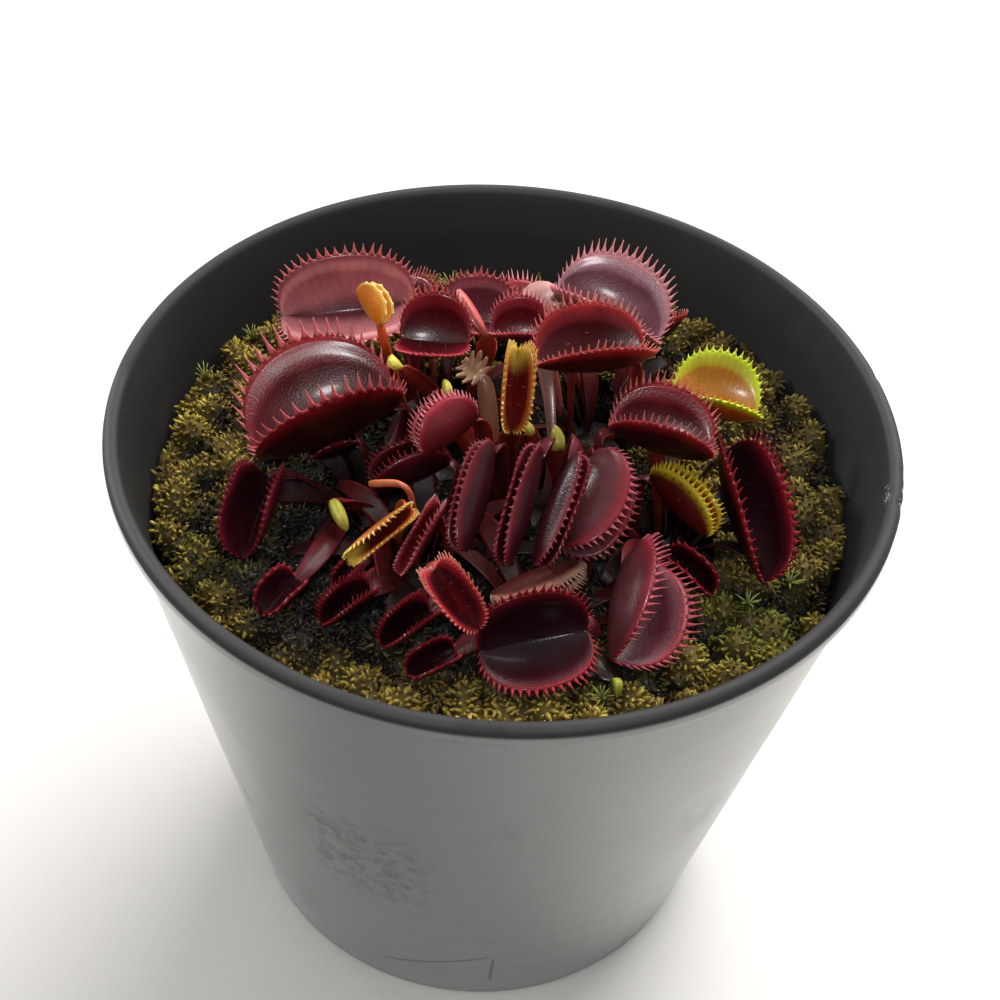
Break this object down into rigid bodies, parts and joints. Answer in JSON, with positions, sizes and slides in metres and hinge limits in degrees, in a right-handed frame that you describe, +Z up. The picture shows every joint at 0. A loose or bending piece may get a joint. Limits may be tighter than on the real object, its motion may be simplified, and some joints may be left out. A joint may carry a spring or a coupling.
{
  "type": "potted venus flytrap",
  "caption": "Venus flytrap clump with dark red traps on winged stalks, growing in moss in a round black plastic nursery pot.",
  "frame": {"origin": "centre of the pot base, on the surface that the pot stands on", "axes": "+Z up along the pot axis, -Y towards the front of the clump, +X to its right"},
  "size_m": [0.09, 0.09, 0.0885],
  "materials": {
    "pot_plastic": "satin black moulded plastic with faint rings",
    "peat": "dark packed growing medium",
    "sphagnum": "damp olive and green moss",
    "rhizome_white": "smooth off-white plant tissue",
    "leaf_maroon": "waxy dark maroon leaf tissue",
    "leaf_mauve": "waxy mauve leaf tissue that light passes through",
    "leaf_red": "waxy bright red leaf tissue",
    "leaf_orange": "waxy orange leaf tissue",
    "leaf_yellow": "waxy yellow-green leaf tissue",
    "leaf_green": "waxy green leaf tissue",
    "leaf_pale": "dry pale leaf tissue"
  },
  "bodies": {
    "root": {"pot": "pot_plastic", "growing_medium": "peat", "moss_layer": "sphagnum", "rhizome_middle": "rhizome_white", "rhizome_left": "rhizome_white", "rhizome_right": "rhizome_white", "rhizome_back_left": "rhizome_white", "rhizome_back_right": "rhizome_white", "rhizome_front": "rhizome_white", "rhizome_front_left": "rhizome_white", "leaf_back_left_mauve": "leaf_mauve", "leaf_left_big": "leaf_maroon", "leaf_centre_dark": "leaf_maroon", "leaf_back_pink": "leaf_mauve", "leaf_pink_slender": "leaf_red", "leaf_centre_hairy": "leaf_red", "leaf_centre_shade": "leaf_maroon", "leaf_upright_orange": "leaf_orange", "leaf_magenta_small": "leaf_red", "leaf_back_right_purple": "leaf_mauve", "leaf_back_right_red": "leaf_red", "leaf_right_yellow": "leaf_yellow", "leaf_right_centre": "leaf_maroon", "leaf_right_yellow_rim": "leaf_orange", "leaf_right_big": "leaf_maroon", "leaf_left_low": "leaf_maroon", "leaf_left_green_tip": "leaf_yellow", "leaf_orange_slender": "leaf_orange", "leaf_red_slender": "leaf_red", "leaf_red_fold": "leaf_red", "leaf_front_left_hanging": "leaf_maroon", "leaf_front_mid_hanging": "leaf_maroon", "leaf_front_right_hanging": "leaf_maroon", "leaf_plum_oval": "leaf_mauve", "leaf_front_pale_edge": "leaf_red", "leaf_front_big": "leaf_maroon", "leaf_front_right_round": "leaf_maroon", "leaf_front_green": "leaf_green", "leaf_low_left_red": "leaf_maroon", "leaf_low_left_shade": "leaf_maroon", "leaf_low_front_shade": "leaf_maroon", "leaf_young_oval": "leaf_orange", "leaf_young_tiny": "leaf_yellow", "leaf_bud_yellow": "leaf_yellow", "leaf_bud_centre_left": "leaf_yellow", "leaf_bud_centre_right": "leaf_yellow", "leaf_back_low_left": "leaf_maroon", "leaf_back_low_middle": "leaf_red", "leaf_back_low_right": "leaf_maroon", "leaf_low_mid_dark": "leaf_maroon", "leaf_low_front_dark": "leaf_maroon", "leaf_left_mid_dark": "leaf_maroon", "leaf_right_low_dark": "leaf_maroon", "leaf_dry_blade": "leaf_pale"}
  },
  "joints": []
}
